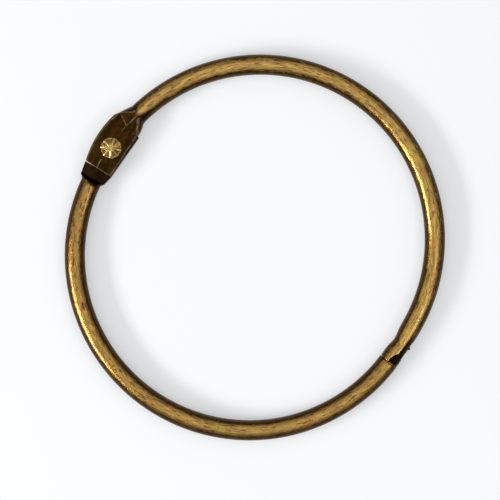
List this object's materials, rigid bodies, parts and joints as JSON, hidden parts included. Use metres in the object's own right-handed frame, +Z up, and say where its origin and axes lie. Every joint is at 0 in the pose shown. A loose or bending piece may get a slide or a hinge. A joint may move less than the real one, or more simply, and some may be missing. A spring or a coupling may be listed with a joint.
{
  "type": "binder ring",
  "caption": "Hinged loose-leaf binder ring in antique brass: two curved tube halves that turn on a riveted knuckle and meet at a snap catch.",
  "frame": {"origin": "centre of the closed ring, on the plane it lies on", "axes": "+X from the hinge to the catch, +Y towards the upper half ring, +Z up out of the plane it lies on"},
  "size_m": [0.056, 0.0576, 0.0033],
  "materials": {
    "antique_brass": "worn antique plating, dark in the recesses",
    "bright_brass": "polished by wear"
  },
  "bodies": {
    "upper_half": {"upper_half_ring": "antique_brass", "hinge_rivet": "bright_brass"},
    "lower_half": {"lower_half_ring": "antique_brass"}
  },
  "joints": [
    {"name": "hinge_pivot", "type": "hinge", "parent": "upper_half", "child": "lower_half", "pos_m": [-0.02576, 0.00054, 0.0015], "axis": [0, 0, -1], "range_deg": [0, 110]}
  ]
}
